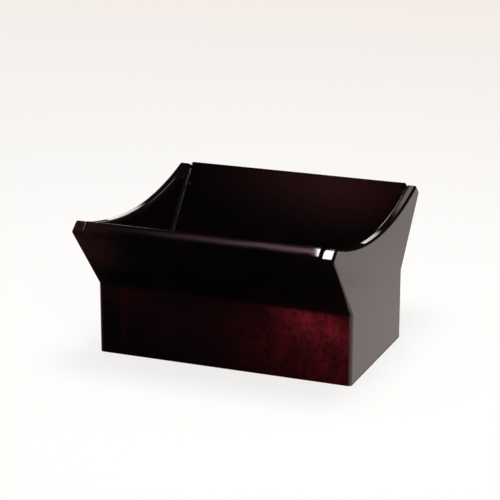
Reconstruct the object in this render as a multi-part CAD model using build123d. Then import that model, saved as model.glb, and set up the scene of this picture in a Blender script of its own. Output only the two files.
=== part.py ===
from build123d import *
import math
import os

# A lacquered wooden box for charcoal, open at the top. Two flat end boards with a waisted outline stand left
# and right. Between them the long sides rise upright, fold outward at a mitre and flare up to the rim.
# The origin is the centre of the underside, X runs along the box, Y to the rear and Z up. Millimetres.

# The box as a whole
LENGTH = 273.0            # over the outer faces of the end boards
BASE_DEPTH = 160.0        # front to rear at the foot, over the long boards
FOLD_HEIGHT = 74.5        # from the underside up to the fold line on the outside
FLARE_OUT = 57.5          # how far each long side leans outward above its fold
FLARE_RISE = 69.0         # how far the outer edge of the rim stands above the fold
RIM_PROUD = 3.0           # how far the long boards' rim stands proud of the horns
RIM_SAG = 20.7            # dip of the end boards' top at mid depth, below their horns

# Boards
LONG_BOARD = 14.0         # thickness of the four long boards
END_BOARD = 12.0          # thickness of the two end boards
BOTTOM_BOARD = 9.0        # thickness of the bottom
HORN_CUT = 14.5           # width of the square cut across each horn of the end boards

# Rounded edges
OUTER_ROUND = 2.6         # outline of the end boards, on their outer faces, above the fold
LOWER_ROUND = 4.0         # upright edges of their outer faces, below the fold
TIP_ROUND = 3.0           # outer edge of the rim
CREASE_ROUND = 2.8        # crest of each horn, between the square cut and the hollow top
HOLLOW_ROUND = 5.0        # inner edge of the end boards' hollow top
RIM_ROUND = 2.5           # inner edge of the long boards' rim
SEAM_ROUND = 8.0          # ends of the long boards, on the inside
SEAM_ANGLE = 58.0         # how far that rounding turns before it meets the end board

# Stub tongues of the long boards, and the folded grooves that hold them
STUB_THICK = 5.0
STUB_LONG = 5.0
STUB_STOP = 12.0          # wood left beyond the groove at the rim
STUB_START = 8.0          # wood left between the bottom board and the groove
GLUE_GAP = 0.3            # room for glue at the bottom of a groove

# Loose tongue across the mitred fold
TONGUE_THICK = 3.0
TONGUE_WIDE = 14.0
TONGUE_STOP = 3.0         # it ends this far short of the end boards

# How far the bottom board reaches into the walls
LONG_LAP = 8.0
END_LAP = 7.0

# Bamboo pins, tapered from head to point
PIN_HEAD = 3.2
PIN_POINT = 2.2
PIN_LONG = 30.0
BOTTOM_PIN_HEAD = 2.6
BOTTOM_PIN_POINT = 1.8
BOTTOM_PIN_LONG = 24.0
LOWER_PIN_HEIGHTS = (24.0, 56.0)      # above the underside
FLARE_PIN_HEIGHTS = (28.0, 66.0)      # along the flare, above the fold
LONG_PIN_COUNT = 4                    # pins along each long side of the bottom
END_PIN_COUNT = 2                     # pins along each end of the bottom
BOTTOM_PIN_INSET = 22.0               # from the inner corners to the first pin

# Putty coves in the inner corners
COVE_REACH = 1.6          # how far the putty climbs on the end board
COVE_ANGLE = 25.0         # where it ends on the rounded end of the long board
COVE_HOLLOW = 0.6         # depth of its hollow face

# Worked out from the sizes above
HALF_INSIDE = LENGTH / 2 - END_BOARD
HALF_BASE = BASE_DEPTH / 2
FLARE_LONG = math.hypot(FLARE_OUT, FLARE_RISE)
RIM_LONG = FLARE_LONG + RIM_PROUD
FLARE_DIRECTION = (FLARE_OUT / FLARE_LONG, FLARE_RISE / FLARE_LONG)
MITRE_SLOPE = math.tan(math.atan2(FLARE_OUT, FLARE_RISE) / 2)
BOTTOM_HALF_DEPTH = HALF_BASE - LONG_BOARD + LONG_LAP
BOTTOM_HALF_LENGTH = HALF_INSIDE + END_LAP
COVE_STOP = HOLLOW_ROUND  # the putty ends this far below the horns, where the hollow top starts to round


# The section of the rear long side, as (y, z) points. Inset is measured inward from the outer face.
def lower_point(inset, height):
    return (HALF_BASE - inset, height)


def fold_point(inset):
    return (HALF_BASE - inset, FOLD_HEIGHT + inset * MITRE_SLOPE)


def flare_point(inset, along):
    out, rise = FLARE_DIRECTION
    return (HALF_BASE + along * out - inset * rise, FOLD_HEIGHT + along * rise + inset * out)


def prism(outline, x_from, x_to):
    """Fills an outline in the YZ plane from one X to another."""
    face = make_face(Plane.YZ * outline)
    return Pos(x_from, 0, 0) * extrude(face, amount=x_to - x_from, dir=(1, 0, 0))


def section(points, x_from=-HALF_INSIDE, x_to=HALF_INSIDE):
    return prism(Polyline(*points, close=True), x_from, x_to)


def edges_through(solid, point):
    """The edges along X that pass through a (y, z) point of the section."""
    y, z = point
    along = solid.edges().filter_by(Axis.X)
    return along.filter_by(lambda e: math.hypot(e.center().Y - y, e.center().Z - z) < 0.01)


# Stub tongues and their grooves
def stub_insets():
    first = (LONG_BOARD - STUB_THICK) / 2
    return first, first + STUB_THICK


def lower_stub_points():
    a, b = stub_insets()
    foot = BOTTOM_BOARD + STUB_START
    return [lower_point(a, foot), lower_point(b, foot), fold_point(b), fold_point(a)]


def flare_stub_points():
    a, b = stub_insets()
    top = FLARE_LONG - STUB_STOP
    return [fold_point(a), fold_point(b), flare_point(b, top), flare_point(a, top)]


def stub_pair(points):
    left = section(points, -HALF_INSIDE - STUB_LONG, -HALF_INSIDE)
    right = section(points, HALF_INSIDE, HALF_INSIDE + STUB_LONG)
    return left + right


def stub_groove():
    """The folded groove in the left end board that takes the rear boards' stubs."""
    a, b = stub_insets()
    foot = BOTTOM_BOARD + STUB_START
    top = FLARE_LONG - STUB_STOP
    points = [lower_point(a, foot), lower_point(b, foot), fold_point(b)]
    points += [flare_point(b, top), flare_point(a, top), fold_point(a)]
    return section(points, -HALF_INSIDE - STUB_LONG - GLUE_GAP, -HALF_INSIDE)


# Loose tongue across the mitre
def tongue_points(wide):
    middle_y, middle_z = fold_point(LONG_BOARD / 2)
    unit = math.hypot(1, MITRE_SLOPE)
    along = (-1 / unit, MITRE_SLOPE / unit)
    across = (MITRE_SLOPE / unit, 1 / unit)
    points = []
    for i, j in ((-1, -1), (1, -1), (1, 1), (-1, 1)):
        y = middle_y + i * TONGUE_THICK / 2 * along[0] + j * wide / 2 * across[0]
        z = middle_z + i * TONGUE_THICK / 2 * along[1] + j * wide / 2 * across[1]
        points.append((y, z))
    return points


def tongue_strip(wide):
    half = HALF_INSIDE - TONGUE_STOP
    return section(tongue_points(wide), -half, half)


def rear_fold_tongue():
    return tongue_strip(TONGUE_WIDE)


def tongue_slot():
    return tongue_strip(TONGUE_WIDE + 2 * GLUE_GAP)


# Bamboo pins
def pin(start, direction, head, point, length):
    place = Plane(origin=start, z_dir=direction)
    return place * Cone(head / 2, point / 2, length, align=(Align.CENTER, Align.CENTER, Align.MIN))


def left_rear_pins():
    """Pins from the left end board into the two rear long boards."""
    places = [lower_point(LONG_BOARD / 2, height) for height in LOWER_PIN_HEIGHTS]
    places += [flare_point(LONG_BOARD / 2, along) for along in FLARE_PIN_HEIGHTS]
    return [pin((-LENGTH / 2, y, z), (1, 0, 0), PIN_HEAD, PIN_POINT, PIN_LONG) for y, z in places]


def spread(count, half_span):
    step = 2 * half_span / (count - 1)
    return [-half_span + i * step for i in range(count)]


def bottom_pins():
    """Pins from the underside up into all four walls."""
    rear = HALF_BASE - LONG_BOARD + LONG_LAP / 2
    end = HALF_INSIDE + END_LAP / 2
    places = []
    for x in spread(LONG_PIN_COUNT, HALF_INSIDE - BOTTOM_PIN_INSET):
        places += [(x, -rear), (x, rear)]
    for y in spread(END_PIN_COUNT, HALF_BASE - LONG_BOARD - BOTTOM_PIN_INSET):
        places += [(-end, y), (end, y)]
    up = (0, 0, 1)
    return [pin((x, y, 0), up, BOTTOM_PIN_HEAD, BOTTOM_PIN_POINT, BOTTOM_PIN_LONG) for x, y in places]


# Inner corners. Their section lies across the left rear seam: first along X from the end board, then into
# the long board from its inner face.
def seam_point(turn):
    """A point of the rounded end of a long board, from 0 on its inner face to SEAM_ANGLE on the end board."""
    angle = math.radians(turn)
    wide = SEAM_ROUND * math.sin(math.radians(SEAM_ANGLE))
    return (wide - SEAM_ROUND * math.sin(angle), SEAM_ROUND * (1 - math.cos(angle)))


def seam_arc(turn_from, turn_to):
    return ThreePointArc(seam_point(turn_from), seam_point((turn_from + turn_to) / 2), seam_point(turn_to))


def swept_up_seam(outline, top):
    """Sweeps a section up the left rear inner corner, to a length along the flare."""
    y, z = lower_point(LONG_BOARD, BOTTOM_BOARD)
    start = Plane(origin=(-HALF_INSIDE, y, z), x_dir=(1, 0, 0), z_dir=(0, 0, 1))
    path = [(y, z), fold_point(LONG_BOARD), flare_point(LONG_BOARD, top)]
    route = Polyline(*[(-HALF_INSIDE, py, pz) for py, pz in path])
    return sweep(make_face(start * outline), path=route, transition=Transition.RIGHT)


def seam_cut():
    """What is cut away to round the left end of the rear boards on the inside."""
    wide, _ = seam_point(0)
    _, deep = seam_point(SEAM_ANGLE)
    corners = [(0, deep), (-SEAM_ROUND, deep), (-SEAM_ROUND, -SEAM_ROUND), (wide, -SEAM_ROUND), (wide, 0)]
    return swept_up_seam(Polyline(*corners) + seam_arc(0, SEAM_ANGLE), RIM_LONG + SEAM_ROUND)


def left_rear_cove():
    """Putty in the left rear inner corner."""
    on_end = (0.0, -COVE_REACH)
    on_board = seam_point(COVE_ANGLE)
    chord = math.dist(on_end, on_board)
    toward = ((on_end[1] - on_board[1]) / chord, (on_board[0] - on_end[0]) / chord)
    between = ((on_end[0] + on_board[0]) / 2, (on_end[1] + on_board[1]) / 2)
    hollow = (between[0] + COVE_HOLLOW * toward[0], between[1] + COVE_HOLLOW * toward[1])
    face = ThreePointArc(on_end, hollow, on_board)
    outline = Line(seam_point(SEAM_ANGLE), on_end) + face + seam_arc(COVE_ANGLE, SEAM_ANGLE)
    return swept_up_seam(outline, FLARE_LONG - COVE_STOP)


# Long boards
def rim_end_cut():
    """What is cut away to round the left end of the rear rim down to the horn."""
    out, rise = FLARE_DIRECTION
    y, z = flare_point(-RIM_PROUD, RIM_LONG)
    across = Plane(origin=(-HALF_INSIDE, y, z), x_dir=(1, 0, 0), z_dir=(0, -rise, out))
    middle = RIM_PROUD * (1 - math.sqrt(0.5))
    arc = ThreePointArc((0, -RIM_PROUD), (middle, -middle), (RIM_PROUD, 0))
    far = RIM_PROUD
    corners = [(far, 0), (far, far), (-far, far), (-far, -far), (0, -far)]
    return extrude(across * make_face(arc + Polyline(*corners)), amount=LONG_BOARD + 2 * far)


def rear_lower_board():
    foot = LONG_BOARD - LONG_LAP
    points = [lower_point(0, 0), lower_point(foot, 0), lower_point(foot, BOTTOM_BOARD)]
    points += [lower_point(LONG_BOARD, BOTTOM_BOARD), fold_point(LONG_BOARD), fold_point(0)]
    cut = seam_cut()
    board = section(points) - cut - mirror(cut, about=Plane.YZ)
    board = board + stub_pair(lower_stub_points())
    return board - tongue_slot()


def rear_flare_board():
    inner_edge = flare_point(LONG_BOARD, RIM_LONG)
    outer_edge = flare_point(0, RIM_LONG)
    board = section([fold_point(0), fold_point(LONG_BOARD), inner_edge, outer_edge])
    board = fillet(edges_through(board, inner_edge), RIM_ROUND)
    board = fillet(edges_through(board, outer_edge), TIP_ROUND)
    for cut in (seam_cut(), rim_end_cut()):
        board = board - cut - mirror(cut, about=Plane.YZ)
    board = board + stub_pair(flare_stub_points())
    return board - tongue_slot()


# End boards
def end_outline():
    """The waisted outline, from the rear foot over the horns and the hollow top to the front foot."""
    rear = [lower_point(0, 0), fold_point(0), flare_point(0, FLARE_LONG), flare_point(HORN_CUT, FLARE_LONG)]
    front = [(-y, z) for y, z in reversed(rear)]
    crest = rear[-1]
    hollow = ThreePointArc(crest, (0, crest[1] - RIM_SAG), (-crest[0], crest[1]))
    return Polyline(*rear) + hollow + Polyline(*front) + Line(front[-1], rear[0])


def end_plate():
    return prism(end_outline(), -LENGTH / 2, -HALF_INSIDE)


def rounded_inside(plate):
    """The left plate with the inner edge of its hollow top rounded."""
    inner = plate.edges().filter_by(GeomType.CIRCLE)
    return fillet(inner.sort_by(Axis.X)[-1], HOLLOW_ROUND)


def rounded_outside(plate):
    """The left plate with its tips, its crests and the outline of its outer face rounded."""
    crest = flare_point(HORN_CUT, FLARE_LONG)
    tip = flare_point(0, FLARE_LONG)
    for y, z in (tip, (-tip[0], tip[1])):
        plate = fillet(edges_through(plate, (y, z)), TIP_ROUND)
    for y, z in (crest, (-crest[0], crest[1])):
        plate = fillet(edges_through(plate, (y, z)), CREASE_ROUND)
    outer = plate.faces().sort_by(Axis.X)[0]
    upright = outer.edges().filter_by(Axis.Z)
    plate = fillet(upright, LOWER_ROUND)
    outer = plate.faces().sort_by(Axis.X)[0]
    return fillet(outer.edges().filter_by(lambda e: e.center().Z > FOLD_HEIGHT), OUTER_ROUND)


def left_end_board():
    board = rounded_inside(end_plate()) & rounded_outside(end_plate())
    groove = stub_groove()
    return board - groove - mirror(groove, about=Plane.XZ) - bottom_board()


def bottom_board():
    size = (2 * BOTTOM_HALF_LENGTH, 2 * BOTTOM_HALF_DEPTH, BOTTOM_BOARD)
    return Box(*size, align=(Align.CENTER, Align.CENTER, Align.MIN))


# Assembly
def drilled(board, pins):
    """A board with the pins' tapered holes."""
    for one in pins:
        board = board - one
    return board


def turned(pieces, plane):
    return [mirror(piece, about=plane) for piece in pieces]


def build():
    """All sub-parts by name. The front is the rear mirrored, and the right end is the left mirrored."""
    rear_left = left_rear_pins()
    front_left = turned(rear_left, Plane.XZ)
    rear_right = turned(rear_left, Plane.YZ)
    front_right = turned(front_left, Plane.YZ)
    under = bottom_pins()
    rear_pins = rear_left + rear_right + under
    lower = drilled(rear_lower_board(), rear_pins)
    flare = drilled(rear_flare_board(), rear_pins)
    left = drilled(left_end_board(), rear_left + front_left + under)
    cove = left_rear_cove()
    front_cove = mirror(cove, about=Plane.XZ)
    tongue = rear_fold_tongue()
    return {
        "bottom_board": drilled(bottom_board(), under),
        "left_end_board": left,
        "right_end_board": mirror(left, about=Plane.YZ),
        "front_lower_board": mirror(lower, about=Plane.XZ),
        "rear_lower_board": lower,
        "front_flare_board": mirror(flare, about=Plane.XZ),
        "rear_flare_board": flare,
        "front_fold_tongue": mirror(tongue, about=Plane.XZ),
        "rear_fold_tongue": tongue,
        "left_front_cove": front_cove,
        "left_rear_cove": cove,
        "right_front_cove": mirror(front_cove, about=Plane.YZ),
        "right_rear_cove": mirror(cove, about=Plane.YZ),
        "left_front_pins": Compound(front_left),
        "left_rear_pins": Compound(rear_left),
        "right_front_pins": Compound(front_right),
        "right_rear_pins": Compound(rear_right),
        "bottom_pins": Compound(under),
    }


os.makedirs("parts", exist_ok=True)
for name, shape in build().items():
    export_step(shape, f"parts/{name}.step")
    print(name, len(shape.solids()), "solids", round(shape.volume), "mm3")
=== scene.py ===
"""Finishes, studio and camera for a lacquered charcoal box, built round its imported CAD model.

The box stands on its foot at the origin, X along it, Y to the rear and Z up, in metres.
"""

import logging
import math
from dataclasses import dataclass
from enum import Enum
from typing import Any, Union

import bmesh
import bpy
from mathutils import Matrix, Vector

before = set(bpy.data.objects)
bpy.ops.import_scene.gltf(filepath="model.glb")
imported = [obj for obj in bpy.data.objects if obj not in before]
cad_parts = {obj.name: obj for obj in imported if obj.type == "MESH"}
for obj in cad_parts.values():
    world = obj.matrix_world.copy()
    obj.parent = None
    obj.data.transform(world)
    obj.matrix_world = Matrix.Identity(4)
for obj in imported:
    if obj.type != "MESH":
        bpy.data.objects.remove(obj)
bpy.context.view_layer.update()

LOG = logging.getLogger("charcoal_box")

Colour = tuple[float, float, float]
Point = tuple[float, float, float]
Pair = tuple[float, float]
Socket = bpy.types.NodeSocket

BLACK: Colour = (0.0, 0.0, 0.0)
WHITE: Colour = (1.0, 0.985, 0.97)


# Shader maths
class Value:
    """A number that a shader works out, with Python's operators."""

    def __init__(self, graph: "Graph", socket: Socket) -> None:
        """Wraps a socket.

        Args:
            graph: The node tree that the socket is in.
            socket: The output socket that gives the number.
        """
        self.graph = graph
        self.socket = socket

    def maths(self, operation: str, *inputs: Any) -> "Value":
        """Adds one Math node.

        Args:
            operation: The node's operation, in Blender's word.
            inputs: Its inputs, in order.

        Returns:
            The node's result.
        """
        node = self.graph.node("ShaderNodeMath", {"operation": operation}, dict(enumerate(inputs)))
        return Value(self.graph, node.outputs[0])

    def __add__(self, other: Any) -> "Value":
        """This plus the other."""
        return self.maths("ADD", self, other)

    __radd__ = __add__

    def __sub__(self, other: Any) -> "Value":
        """This minus the other."""
        return self.maths("SUBTRACT", self, other)

    def __rsub__(self, other: Any) -> "Value":
        """The other minus this."""
        return self.maths("SUBTRACT", other, self)

    def __mul__(self, other: Any) -> "Value":
        """This times the other."""
        return self.maths("MULTIPLY", self, other)

    __rmul__ = __mul__

    def __truediv__(self, other: Any) -> "Value":
        """This divided by the other."""
        return self.maths("DIVIDE", self, other)

    def __rtruediv__(self, other: Any) -> "Value":
        """The other divided by this."""
        return self.maths("DIVIDE", other, self)

    def __pow__(self, other: Any) -> "Value":
        """This to the power of the other."""
        return self.maths("POWER", self, other)

    def __abs__(self) -> "Value":
        """This without its sign."""
        return self.maths("ABSOLUTE", self)

    def root(self) -> "Value":
        """The square root."""
        return self.maths("SQRT", self)

    def least(self, other: Any) -> "Value":
        """The smaller of the two."""
        return self.maths("MINIMUM", self, other)

    def most(self, other: Any) -> "Value":
        """The larger of the two."""
        return self.maths("MAXIMUM", self, other)

    def between(self, low: float, high: float) -> "Value":
        """A share from 0 to 1, spread from low to high."""
        return self * (high - low) + low

    def rising(self, low: float, high: float) -> "Value":
        """A smooth step.

        Args:
            low: Where it leaves 0.
            high: Where it reaches 1; below low, the step falls instead.

        Returns:
            A value from 0 to 1.
        """
        settings = {"interpolation_type": "SMOOTHSTEP"}
        if low < high:
            ends = {"From Min": low, "From Max": high, "To Min": 0.0, "To Max": 1.0}
        else:
            ends = {"From Min": high, "From Max": low, "To Min": 1.0, "To Max": 0.0}
        node = self.graph.node("ShaderNodeMapRange", settings, {"Value": self, **ends})
        return Value(self.graph, node.outputs["Result"])


@dataclass(frozen=True)
class Grain:
    """The settings of one soft noise.

    Attributes:
        scale: How many waves to the metre along X, Y and Z.
        detail: How many finer layers it has.
        roughness: How strong those are.
        shift: Moves the pattern, so that two of them differ.
    """

    scale: Point
    detail: float
    roughness: float
    shift: float = 0.0


class Graph:
    """The node tree of one material or of the world."""

    def __init__(self, tree: bpy.types.NodeTree) -> None:
        """Empties a node tree.

        Args:
            tree: The tree to build in.
        """
        self.tree = tree
        tree.nodes.clear()

    def node(self, kind: str, settings: Union[dict, None] = None,
             inputs: Union[dict, None] = None) -> bpy.types.Node:
        """Adds one node of any type.

        Args:
            kind: The node's type.
            settings: Its own settings, set first.
            inputs: Values or links of its sockets, by name or number.

        Returns:
            The node.
        """
        made = self.tree.nodes.new(kind)
        for name, value in (settings or {}).items():
            setattr(made, name, value)
        for key, value in (inputs or {}).items():
            socket = made.inputs[key]
            if isinstance(value, Value):
                value = value.socket
            if isinstance(value, Socket):
                self.tree.links.new(value, socket)
            else:
                socket.default_value = value
        return made

    def place(self) -> tuple["Value", "Value", "Value"]:
        """The surface point in the box's own frame.

        Returns:
            Its X, Y and Z in metres.
        """
        where = self.node("ShaderNodeTexCoord").outputs["Object"]
        parts = self.node("ShaderNodeSeparateXYZ", inputs={0: where}).outputs
        return Value(self, parts[0]), Value(self, parts[1]), Value(self, parts[2])

    def noise(self, grain: Grain) -> Value:
        """Soft noise in the box's own frame.

        Args:
            grain: The noise's settings.

        Returns:
            A value about 0.5.
        """
        where = self.node("ShaderNodeTexCoord").outputs["Object"]
        inputs = {"Vector": where, "Location": (grain.shift,) * 3, "Scale": grain.scale}
        mapped = self.node("ShaderNodeMapping", inputs=inputs).outputs["Vector"]
        inputs = {"Vector": mapped, "Scale": 1.0, "Detail": grain.detail, "Roughness": grain.roughness}
        return Value(self, self.node("ShaderNodeTexNoise", inputs=inputs).outputs["Fac"])

    def blend(self, share: Any, first: Any, second: Any) -> Socket:
        """Mixes two colours.

        Args:
            share: How much of the second, from 0 to 1.
            first: A colour or a link.
            second: A colour or a link.

        Returns:
            The mixed colour's socket.
        """
        made = self.node("ShaderNodeMix", {"data_type": "RGBA"}, {0: share})
        for index, value in ((6, first), (7, second)):
            if isinstance(value, Socket):
                self.tree.links.new(value, made.inputs[index])
            else:
                made.inputs[index].default_value = (*value, 1.0)
        return made.outputs[2]

    def bump(self, height: Value) -> Socket:
        """Turns a height into a surface normal.

        Args:
            height: The height in metres.

        Returns:
            The normal's socket.
        """
        inputs = {"Height": height, "Distance": 1.0, "Strength": 1.0}
        return self.node("ShaderNodeBump", inputs=inputs).outputs["Normal"]

    def solid(self, colour: Socket, roughness: Value, height: Value) -> Socket:
        """Adds the shader of a solid surface.

        Args:
            colour: The link of its colour.
            roughness: Its roughness.
            height: Its relief in metres.

        Returns:
            The shader's socket.
        """
        inputs = {"Base Color": colour, "Roughness": roughness, "IOR": 1.5, "Normal": self.bump(height)}
        return self.node("ShaderNodeBsdfPrincipled", inputs=inputs).outputs[0]

    def glow(self, colour: Socket, strength: float) -> Socket:
        """Adds a shader that gives light.

        Args:
            colour: The link of its colour.
            strength: How bright it is, with 1 as white.

        Returns:
            The shader's socket.
        """
        return self.node("ShaderNodeEmission", inputs={"Color": colour, "Strength": strength}).outputs[0]

    def matte(self, colour: Colour) -> Socket:
        """Adds the shader of a dull surface."""
        return self.node("ShaderNodeBsdfDiffuse", inputs={"Color": (*colour, 1.0)}).outputs[0]

    def either(self, share: Any, first: Socket, second: Socket) -> Socket:
        """Mixes two shaders.

        Args:
            share: How much of the second, from 0 to 1.
            first: A shader's socket.
            second: A shader's socket.

        Returns:
            The mixed shader's socket.
        """
        return self.node("ShaderNodeMixShader", inputs={0: share, 1: first, 2: second}).outputs[0]

    def finish(self, kind: str, shader: Socket) -> None:
        """Links the last shader to the output.

        Args:
            kind: The output node's type.
            shader: The shader's socket.
        """
        self.node(kind, inputs={"Surface": shader})


def new_material(name: str) -> tuple[bpy.types.Material, Graph]:
    """Makes an empty material.

    Args:
        name: Its name.

    Returns:
        The material and its node tree.
    """
    material = bpy.data.materials.new(name)
    material.use_nodes = True
    return material, Graph(material.node_tree)


# Finishes
DRIFT = Grain((22.0, 22.0, 30.0), 2.0, 0.5)             # how thick the lacquer is
MOTTLE = Grain((260.0, 260.0, 200.0), 3.0, 0.6, 3.1)    # fine mottle in the red
BRUSH = Grain((70.0, 70.0, 45.0), 2.0, 0.5, 9.4)        # marks of the brush in the red
FLECK = Grain((160.0, 160.0, 220.0), 4.0, 0.65, 4.4)    # flecks in the painted pool of light
REFLECTION_BREAKS = Grain((500.0, 500.0, 160.0), 2.0, 0.5, 5.5)      # breaks in the painted reflection along an edge
SMEAR = Grain((60.0, 60.0, 90.0), 3.0, 0.6, 1.3)        # smears in the gloss
SWELL = Grain((16.0, 16.0, 16.0), 1.0, 0.4, 7.7)        # slow waves in the polished surface
LUMPS = Grain((240.0, 240.0, 90.0), 3.0, 0.6)           # lumps in the putty
MARKS: Pair = (0.3, 0.7)                                # the step that turns a soft noise to clear marks


class Across(Enum):
    """The plane in which a straight arris is a point."""

    XY = (0, 1)
    YZ = (1, 2)


@dataclass(frozen=True)
class Arris:
    """A straight edge, along which the lacquer is thin or rubbed.

    Attributes:
        across: The plane in which it is a point.
        place: That point, on the positive side of both axes.
        reach: How far it shows on each side.
        strength: How much it shows, from 0 to 1.
        lid: The height at which it ends.
        fade: The height over which it ends.
        core: The share of its reach over which it shows in full.
    """

    across: Across
    place: Pair
    reach: float
    strength: float
    lid: float = 1.0
    fade: float = 0.003
    core: float = 0.2

    def mask(self, graph: Graph) -> Value:
        """How much the edge shows, on all four mirrored edges alike.

        Args:
            graph: The material's node tree.

        Returns:
            A value from 0 to its strength.
        """
        where = graph.place()
        first, second = (abs(where[axis]) for axis in self.across.value)
        apart = ((first - self.place[0]) ** 2 + (second - self.place[1]) ** 2).root()
        under_lid = where[2].rising(self.lid, self.lid - self.fade)
        return apart.rising(self.reach, self.reach * self.core) * under_lid * self.strength


@dataclass(frozen=True)
class Cloud:
    """A soft patch of colour painted onto the lacquer.

    Attributes:
        centre: Its middle.
        reach: Its half sizes along X, Y and Z.
        strength: How much it shows, from 0 to 1.
        lid: The height at which it ends.
        fade: The height over which it ends.
    """

    centre: Point
    reach: Point
    strength: float
    lid: float = 1.0
    fade: float = 0.004

    def mask(self, graph: Graph) -> Value:
        """How much the patch shows.

        Args:
            graph: The material's node tree.

        Returns:
            A value from 0 to its strength.
        """
        far = None
        for value, middle, half in zip(graph.place(), self.centre, self.reach):
            part = ((value - middle) / half) ** 2
            far = part if far is None else far + part
        under_lid = graph.place()[2].rising(self.lid, self.lid - self.fade)
        return far.root().rising(1.0, 0.0) * under_lid * self.strength


@dataclass(frozen=True)
class Lacquer:
    """Red-brown lacquer polished to a mirror: nearly black, with the red ground showing through.

    Attributes:
        name: The material's name.
        painted_glow_clouds: Patches of painted light, where the red shows brighter.
        painted_light_patches: Patches where a brown pool of light is painted into the colour.
        arrises: Edges where the red shows.
        painted_reflection_edges: Edges along which a grey reflection is painted.
        deep: The colour where the lacquer is thick.
        red: The colour of the red ground.
        dust_and_painted_light: The colour of that painted pool of light.
        painted_reflection_colour: The colour of the painted reflection along an edge.
        thinned: How much of the red shows where the coat drifts thin.
        gloss: The roughness of the polished surface.
        smears: How much that varies either way.
        wave: The height of its slow waves, in metres.
    """

    name: str
    painted_glow_clouds: tuple[Cloud, ...] = ()
    painted_light_patches: tuple[Cloud, ...] = ()
    arrises: tuple[Arris, ...] = ()
    painted_reflection_edges: tuple[Arris, ...] = ()
    deep: Colour = (0.0014, 0.0012, 0.0013)
    red: Colour = (0.30, 0.019, 0.029)
    dust_and_painted_light: Colour = (0.26, 0.085, 0.09)
    painted_reflection_colour: Colour = (0.115, 0.075, 0.082)
    thinned: float = 0.012
    gloss: float = 0.034
    smears: float = 0.015
    wave: float = 0.00005

    def red_share(self, graph: Graph) -> Value:
        """How much of the red ground shows.

        Args:
            graph: The material's node tree.

        Returns:
            A value from 0 to 1.
        """
        drift = graph.noise(DRIFT)
        mottle = graph.noise(MOTTLE).rising(0.28, 0.72)
        brush = graph.noise(BRUSH).rising(*MARKS)
        share = drift.rising(0.42, 0.85) * self.thinned
        # painted light: each cloud brightens the red where light falls
        for cloud in self.painted_glow_clouds:
            share = share + cloud.mask(graph)
        share = share * mottle.between(0.55, 1.45) * brush.between(0.75, 1.25)
        for arris in self.arrises:
            share = share.most(arris.mask(graph) * drift.rising(0.3, 0.6).between(0.5, 1.0))
        return share.least(1.0)

    def shader(self, graph: Graph) -> Socket:
        """Adds the lacquer's shader.

        Args:
            graph: The material's node tree.

        Returns:
            The shader's socket.
        """
        colour = graph.blend(self.red_share(graph), self.deep, self.red)
        # paints a brown pool of light into each of these patches
        for patch in self.painted_light_patches:
            fleck = graph.noise(FLECK).rising(*MARKS)
            colour = graph.blend(patch.mask(graph) * fleck.between(0.6, 1.4), colour, self.dust_and_painted_light)
        # paints a grey reflection along each of these edges
        for edge in self.painted_reflection_edges:
            breaks = graph.noise(REFLECTION_BREAKS).between(0.7, 1.3).least(1.0)
            colour = graph.blend(edge.mask(graph) * breaks, colour, self.painted_reflection_colour)
        roughness = graph.noise(SMEAR).between(self.gloss - self.smears, self.gloss + self.smears)
        return graph.solid(colour, roughness, graph.noise(SWELL) * self.wave)

    def material(self) -> bpy.types.Material:
        """Builds the material.

        Returns:
            The material, with its shader linked.
        """
        material, graph = new_material(self.name)
        graph.finish("ShaderNodeOutputMaterial", self.shader(graph))
        return material


@dataclass(frozen=True)
class Putty:
    """Lacquer mixed with sawdust, run into the inner corners and lacquered over.

    Attributes:
        name: The material's name.
        body: Its dark colour.
        dust_and_painted_light: The colour of the sawdust in it.
        gloss: Its roughness, from the least to the most.
        lump: The height of its lumps, in metres.
    """

    name: str = "corner_putty"
    body: Colour = (0.006, 0.0055, 0.0055)
    dust_and_painted_light: Colour = (0.014, 0.012, 0.012)
    gloss: Pair = (0.10, 0.22)
    lump: float = 0.00012

    def material(self) -> bpy.types.Material:
        """Builds the material.

        Returns:
            The material, with its shader linked.
        """
        material, graph = new_material(self.name)
        lumps = graph.noise(LUMPS)
        colour = graph.blend(lumps.rising(0.35, 0.75), self.body, self.dust_and_painted_light)
        shader = graph.solid(colour, lumps.between(*self.gloss), lumps * self.lump)
        graph.finish("ShaderNodeOutputMaterial", shader)
        return material


@dataclass(frozen=True)
class Wood:
    """Wood or bamboo with its grain along one axis, lacquered over where it comes to the outside.

    Attributes:
        name: The material's name.
        pale: The colour of its soft grain.
        dark: The colour of its fibres.
        grain: Fibres to the metre along X, Y and Z; they run along the smallest.
        roughness: How dull it is.
        uneven: How much that varies either way.
        ring: How much coarser its year rings are, as a share of the fibres.
        relief: The height of its fibres, in metres.
        end_face: The distance from the box's middle from which lacquer covers it.
        foot_face: The height up to which lacquer covers it.
        skin: The depth over which the cover starts.
    """

    name: str
    pale: Colour
    dark: Colour
    grain: Point
    roughness: float = 0.55
    uneven: float = 0.1
    ring: float = 0.22
    relief: float = 0.00006
    end_face: float = 0.1362
    foot_face: float = 0.0003
    skin: float = 0.0001

    def material(self) -> bpy.types.Material:
        """Builds the material.

        Returns:
            The material, with its shader linked.
        """
        material, graph = new_material(self.name)
        fibres = graph.noise(Grain(self.grain, 4.0, 0.6, 2.2))
        rings = graph.noise(Grain(tuple(scale * self.ring for scale in self.grain), 2.0, 0.5, 6.1))
        shade = (fibres * 0.6 + rings * 0.5).rising(0.35, 0.8)
        colour = graph.blend(shade, self.pale, self.dark)
        roughness = fibres.between(self.roughness - self.uneven, self.roughness + self.uneven)
        bare = graph.solid(colour, roughness, fibres * self.relief)
        where = graph.place()
        ends = abs(where[0]).rising(self.end_face - self.skin, self.end_face)
        foot = where[2].rising(self.foot_face, self.foot_face - self.skin)
        cover = Lacquer(self.name + "_cover").shader(graph)
        graph.finish("ShaderNodeOutputMaterial", graph.either(ends.most(foot), bare, cover))
        return material


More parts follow.
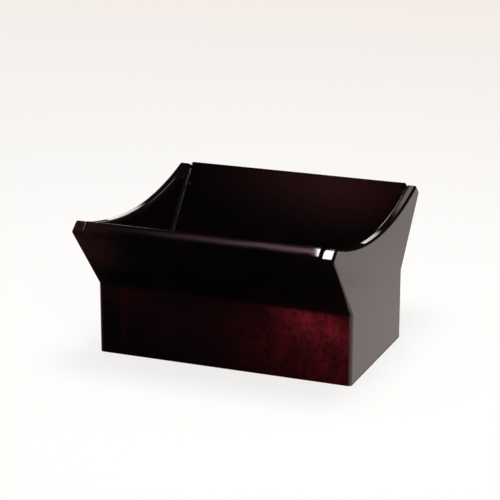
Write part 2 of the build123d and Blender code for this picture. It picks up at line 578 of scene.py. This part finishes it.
BAMBOO = {"pale": (0.62, 0.48, 0.26), "dark": (0.44, 0.31, 0.14), "roughness": 0.45}
BAMBOO_ACROSS = Wood("bamboo_across", grain=(40.0, 1500.0, 1500.0), **BAMBOO)
BAMBOO_UPRIGHT = Wood("bamboo_upright", grain=(1500.0, 1500.0, 40.0), **BAMBOO)
SOFTWOOD = Wood("planed_softwood", (0.58, 0.40, 0.25), (0.36, 0.21, 0.11), (18.0, 500.0, 500.0))


# The box
class Side(Enum):
    """The two ends of the box."""

    LEFT = "left"
    RIGHT = "right"


class Face(Enum):
    """The two long walls of the box."""

    FRONT = "front"
    REAR = "rear"


@dataclass
class Joinery:
    """The CAD's boards, tongues, putty and pins, dressed where they stand.

    Attributes:
        side: Half the length of the foot.
        foot: Half its depth.
        fold: The height of the fold.
        rim_in: The rim's inner edge, as its Y and Z.
        corner_round: The radius of the foot's upright edges.
        board_glow: How far the painted red glow of light goes into the front board.
        edge_glow: How far it goes in from an end board's front edge.
        thin: The colour of the lacquer on the foot's front and on the end boards, where it is thinner.
    """

    side: float = 0.1365
    foot: float = 0.080
    fold: float = 0.0745
    rim_in: Pair = (0.1287, 0.1545)
    corner_round: float = 0.004
    board_glow: float = 0.03
    edge_glow: float = 0.003
    thin: Colour = (0.0042, 0.0022, 0.0028)

    def glow(self, depth: float) -> tuple[Cloud, ...]:
        """The red glow of light, painted at the right of the front under the fold, and a fainter one at the
        left.

        Args:
            depth: How far it goes in from the front.

        Returns:
            Its clouds.
        """
        return (
            # painted light: red brightened where light falls; the thin cloud just under the fold at the right
            # also paints out the shade under the overhang
            Cloud((0.106, -self.foot, 0.054), (0.062, depth, 0.021), 0.34, self.fold),
            Cloud((0.084, -self.foot, 0.068), (0.050, depth, 0.014), 0.25, self.fold),
            Cloud((0.122, -self.foot, 0.034), (0.140, depth, 0.085), 0.17, self.fold),
            Cloud((0.085, -self.foot, 0.040), (0.230, depth, 0.100), 0.025, self.fold),
            Cloud((-0.108, -self.foot, 0.066), (0.040, depth, 0.014), 0.030, self.fold),
            Cloud((-0.108, -self.foot, 0.045), (0.007, depth, 0.045), 0.040, self.fold),
        )

    def horn_painted_light(self) -> tuple[Cloud, ...]:
        """A brown pool of light, painted at the left end of the front on the horn and the leaning board
        beside it, where light falls from the left.
        """
        return (Cloud((-0.140, -0.122, 0.132), (0.075, 0.06, 0.068), 0.085),)

    def ends(self) -> Lacquer:
        """The finish of the two end boards, with a grey reflection painted along their upright edges.

        Returns:
            Their lacquer.
        """
        turn = self.corner_round * (1.0 - math.sqrt(0.5))
        thin = Arris(Across.XY, (self.side - self.corner_round, self.foot), 0.0013, 0.11, self.fold)
        # a grey reflection painted on the rounding of each upright edge, below the fold
        reflection_strip = Arris(Across.XY, (self.side - turn, self.foot - turn), 0.0026, 1.0, self.fold)
        # the painted red glow of light, carried round onto the end boards' front edges
        red = self.glow(self.edge_glow)
        return Lacquer("lacquer_ends", red, self.horn_painted_light(), (thin,), (reflection_strip,), deep=self.thin)

    def front_foot(self) -> Lacquer:
        """The finish of the lower front board, with the painted red glow of light at its right."""
        foot_edge = Arris(Across.YZ, (self.foot, 0.0), 0.0022, 0.08)
        return Lacquer("lacquer_front_foot", self.glow(self.board_glow), arrises=(foot_edge,), deep=self.thin)

    def flare(self, face: Face) -> Lacquer:
        """The finish of one of the leaning boards, thin along the rim, with a faint red glow of light painted
        near its top.

        Args:
            face: Whether it is the front or the rear one.

        Returns:
            Its lacquer.
        """
        rim = Arris(Across.YZ, self.rim_in, 0.0035, 0.03)
        # each board gets a faint red glow of light painted near its top
        if face is Face.FRONT:
            top_painted_glow = (Cloud((0.110, -0.135, 0.140), (0.040, 0.03, 0.02), 0.012),)
            return Lacquer("lacquer_front_flare", top_painted_glow, self.horn_painted_light(), (rim,))
        top_painted_glow = (Cloud((0.080, 0.125, 0.150), (0.200, 0.05, 0.05), 0.018),)
        return Lacquer("lacquer_rear_flare", top_painted_glow, arrises=(rim,))

    def finishes(self) -> dict[str, bpy.types.Material]:
        """The finish of every node.

        Returns:
            The materials by the nodes' names.
        """
        foot_edge = Arris(Across.YZ, (self.foot, 0.0), 0.0022, 0.06)
        plain = Lacquer("lacquer_foot", arrises=(foot_edge,)).material()
        made = {
            "front_lower_board": self.front_foot().material(),
            "rear_lower_board": plain,
            "bottom_board": plain,
            "bottom_pins": BAMBOO_UPRIGHT.material(),
        }
        ends, putty, pins = self.ends().material(), Putty().material(), BAMBOO_ACROSS.material()
        for side in Side:
            made["%s_end_board" % side.value] = ends
            for face in Face:
                made["%s_%s_cove" % (side.value, face.value)] = putty
                made["%s_%s_pins" % (side.value, face.value)] = pins
        tongue = SOFTWOOD.material()
        for face in Face:
            made["%s_flare_board" % face.value] = self.flare(face).material()
            made["%s_fold_tongue" % face.value] = tongue
        return made

    def dress(self) -> None:
        """Gives every CAD node its finish."""
        made = self.finishes()
        for name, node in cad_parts.items():
            node.data.materials.clear()
            node.data.materials.append(made[name])
            LOG.info("dressed %s with %s", name, made[name].name)


# Studio and camera
WELL_BEFORE: Pair = (-9.0, -8.0)    # a step that lies before every card
WELL_AFTER: Pair = (8.0, 9.0)       # a step that lies after every card


@dataclass(frozen=True)
class Sheet:
    """A level sheet that belongs to the studio, not to the box.

    Attributes:
        name: Its name.
        low: Its lowest X and Y.
        high: Its highest X and Y.
        height: Its Z.
    """

    name: str
    low: Pair
    high: Pair
    height: float = 1.0

    def lay(self, material: bpy.types.Material) -> bpy.types.Object:
        """Lays the sheet.

        Args:
            material: What it is made of.

        Returns:
            The sheet's object.
        """
        build = bmesh.new()
        bmesh.ops.create_grid(build, x_segments=1, y_segments=1, size=0.5)
        size = (self.high[0] - self.low[0], self.high[1] - self.low[1], 1.0)
        middle = ((self.low[0] + self.high[0]) / 2, (self.low[1] + self.high[1]) / 2, self.height)
        bmesh.ops.scale(build, vec=size, verts=build.verts)
        bmesh.ops.translate(build, vec=middle, verts=build.verts)
        mesh = bpy.data.meshes.new(self.name)
        build.to_mesh(mesh)
        build.free()
        mesh.materials.append(material)
        piece = bpy.data.objects.new(self.name, mesh)
        bpy.context.scene.collection.objects.link(piece)
        LOG.info("laid %s", self.name)
        return piece


@dataclass(frozen=True)
class Card:
    """A flat card that only the gloss mirrors, fading towards its edges.

    Attributes:
        sheet: Its sheet.
        colour: The colour of its light.
        glow: How bright it is at full strength, with 1 as white.
        fade_x: Where it leaves 0 and where it is full, along X.
        end_x: Where it leaves full and where it is 0 again, along X.
        fade_y: Where it leaves 0 and where it is full, along Y.
        end_y: Where it leaves full and where it is 0 again, along Y.
        power: How steeply it rises along X.
    """

    sheet: Sheet
    colour: Colour
    glow: float
    fade_x: Pair = WELL_BEFORE
    end_x: Pair = WELL_AFTER
    fade_y: Pair = WELL_BEFORE
    end_y: Pair = WELL_AFTER
    power: float = 1.0

    def build(self) -> None:
        """Hangs the card."""
        material, graph = new_material(self.sheet.name)
        along, back, _ = graph.place()
        start, full = self.fade_x
        share = ((along - start) / (full - start)).most(0.0).least(1.0) ** self.power
        share = share * along.rising(self.end_x[1], self.end_x[0])
        share = share * back.rising(*self.fade_y) * back.rising(self.end_y[1], self.end_y[0])
        shader = graph.glow(graph.blend(share, BLACK, self.colour), self.glow)
        graph.finish("ShaderNodeOutputMaterial", shader)
        piece = self.sheet.lay(material)
        for kind in ("camera", "diffuse", "transmission", "volume_scatter", "shadow"):
            setattr(piece, "visible_" + kind, False)


@dataclass(frozen=True)
class Lamp:
    """A soft square lamp, which the gloss doesn't mirror.

    Attributes:
        name: Its name.
        at: Its middle.
        aim: What it points at.
        side: Its side.
        glow: How bright its face is, with 1 as white.
    """

    name: str
    at: Point
    aim: Point
    side: float
    glow: float

    def build(self) -> None:
        """Hangs the lamp."""
        light = bpy.data.lights.new(self.name, "AREA")
        light.shape = "SQUARE"
        light.size = self.side
        light.energy = self.glow * math.pi * self.side ** 2
        lamp = bpy.data.objects.new(self.name, light)
        lamp.location = self.at
        lamp.rotation_euler = (Vector(self.aim) - Vector(self.at)).to_track_quat("-Z", "Y").to_euler()
        lamp.visible_camera = lamp.visible_glossy = False
        bpy.context.scene.collection.objects.link(lamp)
        LOG.info("hung the %s lamp", self.name)


@dataclass(frozen=True)
class Floor:
    """A pale floor; the gloss shows it dark in front of and behind the box, and bright beside it.

    Attributes:
        half: Half its side.
        drop: How far it lies under the foot.
        bounce: Its colour where it lights the box.
        warm: Its colour far behind the box.
        warm_y: Where it leaves white and where it has turned warm, along Y.
        own_light: The share of its white that shadows don't dim.
        shaded: The colour of the share that they do.
        glow: How bright the gloss shows it.
        near: Its colour in the gloss, close to the box.
        far: The same, further off.
        far_y: Where it leaves the one and reaches the other, along Y.
        beside: Where it leaves dark and where it is bright, along X, on either side of the box.
        right_y: Where the right side leaves dark and where it is bright, along Y.
        left_y: The same for the left side.
        left_end: Where the left side leaves dark again and where it is bright, from the rear.
        dull_spot: The X and Y of a duller spot, which shows at the right end's front horn.
        dull_reach: The reach of that spot.
        dull_share: How much duller it is.
        behind_y: Where the part behind the box leaves dark and where it is full, along Y.
        behind_share: How bright that part is.
        dark: The least that shows anywhere.
    """

    half: float = 6.0
    drop: float = 0.0003
    bounce: Colour = (0.8, 0.8, 0.8)
    warm: Colour = (1.0, 0.90, 0.84)
    warm_y: Pair = (0.3, 3.2)
    own_light: float = 0.8
    shaded: Colour = (0.25, 0.247, 0.243)
    glow: float = 0.86
    near: Colour = (1.0, 0.85, 0.81)
    far: Colour = (0.86, 0.76, 0.72)
    far_y: Pair = (0.15, 0.5)
    beside: Pair = (0.126, 0.142)
    right_y: Pair = (-0.086, -0.080)
    left_y: Pair = (-0.075, -0.012)
    left_end: Pair = (0.9, 0.6)
    dull_spot: Pair = (0.285, 0.235)
    dull_reach: float = 0.085
    dull_share: float = 0.17
    behind_y: Pair = (0.0, 0.2)
    behind_share: float = 0.2
    dark: float = 0.005

    def mirrored_share(self, graph: Graph) -> Value:
        """How bright the gloss shows the floor.

        Args:
            graph: The floor's node tree.

        Returns:
            A value from 0 to 1.
        """
        along, back, _ = graph.place()
        start, full = self.beside
        right, left = along.rising(start, full), along.rising(-start, -full)
        behind = (1.0 - right - left) * back.rising(*self.behind_y) * self.behind_share
        apart = ((along - self.dull_spot[0]) ** 2 + (back - self.dull_spot[1]) ** 2).root()
        dull = apart.rising(self.dull_reach, 0.0) * self.dull_share
        right = right * back.rising(*self.right_y) * (1.0 - dull)
        left = left * back.rising(*self.left_y) * back.rising(*self.left_end)
        return right + left + behind + self.dark

    def build(self) -> None:
        """Lays the floor."""
        material, graph = new_material("pale_floor")
        path = graph.node("ShaderNodeLightPath").outputs
        back = graph.place()[1]
        pale = graph.glow(graph.blend(back.rising(*self.warm_y), WHITE, self.warm), self.own_light)
        shown = graph.node("ShaderNodeAddShader", inputs={0: graph.matte(self.shaded), 1: pale}).outputs[0]
        tint = graph.blend(back.rising(*self.far_y), self.near, self.far)
        glossy = graph.glow(graph.blend(self.mirrored_share(graph), BLACK, tint), self.glow)
        seen = (Value(graph, path["Is Camera Ray"]) + Value(graph, path["Is Transmission Ray"])).least(1.0)
        mixed = graph.either(seen, graph.matte(self.bounce), shown)
        graph.finish("ShaderNodeOutputMaterial", graph.either(path["Is Glossy Ray"], mixed, glossy))
        Sheet("floor", (-self.half, -self.half), (self.half, self.half), -self.drop).lay(material)


@dataclass(frozen=True)
class Room:
    """Dim, even light, which the camera sees as white; the gloss shows a low pale wall and else a dark room.

    Attributes:
        light: How bright the room is.
        wall: The colour of the low wall behind the box.
        glow: How bright that is.
        end: Where it leaves dark and where it is bright at its right end, as X over Y of the direction.
        gap: Both sides of a gap in it, which keeps the front rim dark, in the same terms.
        back: Where it leaves dark and where it is bright, as Y of the direction.
        top: The same at its top, as Z of the direction.
        aside_from: The least Y of the direction that X is divided by.
        night: What the gloss shows of the rest of the room.
    """

    light: float = 0.4
    wall: Colour = (1.0, 0.93, 0.84)
    glow: float = 2.3
    end: Pair = (-0.285, -0.305)
    gap: tuple[Pair, Pair] = ((-0.47, -0.45), (-0.34, -0.355))
    back: Pair = (0.0, 0.4)
    top: Pair = (0.37, 0.27)
    aside_from: float = 0.2
    night: float = 0.0045

    def sky(self, graph: Graph, colour: Any, strength: float) -> Socket:
        """Adds one background shader.

        Args:
            graph: The world's node tree.
            colour: Its colour, or a link.
            strength: How bright it is, with 1 as white.

        Returns:
            The shader's socket.
        """
        return graph.node("ShaderNodeBackground", inputs={"Color": colour, "Strength": strength}).outputs[0]

    def build(self) -> None:
        """Fills the room with its light."""
        world = bpy.data.worlds.new("studio")
        bpy.context.scene.world = world
        world.use_nodes = True
        graph = Graph(world.node_tree)
        path = graph.node("ShaderNodeLightPath").outputs
        way = graph.node("ShaderNodeTexCoord").outputs["Generated"]
        split = graph.node("ShaderNodeSeparateXYZ", inputs={0: way}).outputs
        along, back, up = (Value(graph, part) for part in split)
        aside = along / back.most(self.aside_from)
        gap = aside.rising(*self.gap[0]) * aside.rising(*self.gap[1])
        wall = aside.rising(*self.end) * (1.0 - gap) * back.rising(*self.back) * up.rising(*self.top)
        room = self.sky(graph, (*WHITE, 1.0), self.light)
        seen = self.sky(graph, (*WHITE, 1.0), 1.0)
        shown = self.sky(graph, graph.blend(wall + self.night, BLACK, self.wall), self.glow)
        mixed = graph.either(path["Is Camera Ray"], room, seen)
        graph.finish("ShaderNodeOutputWorld", graph.either(path["Is Glossy Ray"], mixed, shown))
        LOG.info("lit the room")


@dataclass(frozen=True)
class Studio:
    """The floor, the room, two soft lamps, and the cards that a glossy box mirrors.

    Attributes:
        floor: What the box stands on.
        room: The even light round it.
        key: The lamp above it.
        fill: The lamp in front of its right end.
        rim_strip: Shows along the rim at the front, brighter towards its right end.
        hot_strip: Shows as the white patch at that end.
        top_panel: Shows on the steep parts of the hollow tops.
        red_card: Shows on the inside of the rear board.
    """

    floor: Floor = Floor()
    room: Room = Room()
    key: Lamp = Lamp("key", (0.05, -0.10, 1.1), (0.0, 0.0, 0.05), 0.45, 9.5)
    fill: Lamp = Lamp("fill", (1.2, -1.3, 1.1), (0.0, 0.0, 0.1), 0.8, 2.0)
    rim_strip: Card = Card(
        Sheet("pink_strip", (-0.62, -0.2500), (-0.174, -0.2400)), (1.0, 0.62, 0.76), 3.4,
        fade_x=(-0.62, -0.174), fade_y=(-0.2484, -0.2462), end_y=(-0.2446, -0.2402), power=2.6)
    hot_strip: Card = Card(Sheet("hot_strip", (-0.174, -0.257), (0.30, -0.2350)), (1.0, 0.98, 0.96), 24.0)
    top_panel: Card = Card(
        Sheet("grey_panel", (-0.42, 0.80), (-0.12, 1.45)), (1.0, 0.82, 0.88), 1.5,
        fade_x=(-0.44, -0.20), end_y=(0.95, 1.45))
    red_card: Card = Card(
        Sheet("red_card", (-0.56, -0.42), (-0.10, -0.275)), (1.0, 0.34, 0.38), 0.54,
        fade_x=(-0.56, -0.17), end_x=(-0.32, -0.13), fade_y=(-0.42, -0.285), power=1.6)

    def build(self) -> None:
        """Builds the studio."""
        cards = (self.rim_strip, self.hot_strip, self.top_panel, self.red_card)
        for part in (self.floor, self.room, self.key, self.fill, *cards):
            part.build()


@dataclass
class Viewpoint:
    """The photograph's camera.

    Attributes:
        target: The point that it looks at.
        target_px: Where that point is in the picture.
        azimuth: Degrees to the right of straight in front.
        elevation: Degrees above the horizon.
        distance: From the target.
        focal_px: The focal length in pixels.
        picture_px: The picture's side in pixels.
        sensor: The sensor's width in millimetres.
        clip: How near and how far it sees.
    """

    target: Point = (-0.0063, 0.0016, 0.1048)
    target_px: Pair = (246.8, 246.2)
    azimuth: float = 22.02
    elevation: float = 16.70
    distance: float = 1.8894
    focal_px: float = 1836.1
    picture_px: float = 500.0
    sensor: float = 36.0
    clip: Pair = (0.05, 50.0)

    def build(self) -> None:
        """Places the camera."""
        turn, rise = math.radians(self.azimuth), math.radians(self.elevation)
        back = Vector((math.sin(turn) * math.cos(rise), -math.cos(turn) * math.cos(rise), math.sin(rise)))
        place = Vector(self.target) + back * self.distance
        right = Vector((math.cos(turn), math.sin(turn), 0.0))
        up = back.cross(right)
        metres = self.distance / self.focal_px
        aim = Vector(self.target)
        aim += right * (self.picture_px / 2 - self.target_px[0]) * metres
        aim -= up * (self.picture_px / 2 - self.target_px[1]) * metres
        data = bpy.data.cameras.new("camera")
        data.sensor_width = self.sensor
        data.lens = self.focal_px * self.sensor / self.picture_px
        data.clip_start, data.clip_end = self.clip
        camera = bpy.data.objects.new("camera", data)
        camera.location = place
        camera.rotation_euler = (aim - place).to_track_quat("-Z", "Y").to_euler()
        bpy.context.scene.collection.objects.link(camera)
        bpy.context.scene.camera = camera
        LOG.info("placed the camera")


def main() -> None:
    """Builds the camera, the studio and the box's finishes."""
    logging.basicConfig(level=logging.INFO, format="%(name)s: %(message)s")
    Viewpoint().build()
    Studio().build()
    Joinery().dress()
    bpy.context.scene.view_settings.view_transform = "Standard"


if __name__ == "__main__":
    main()
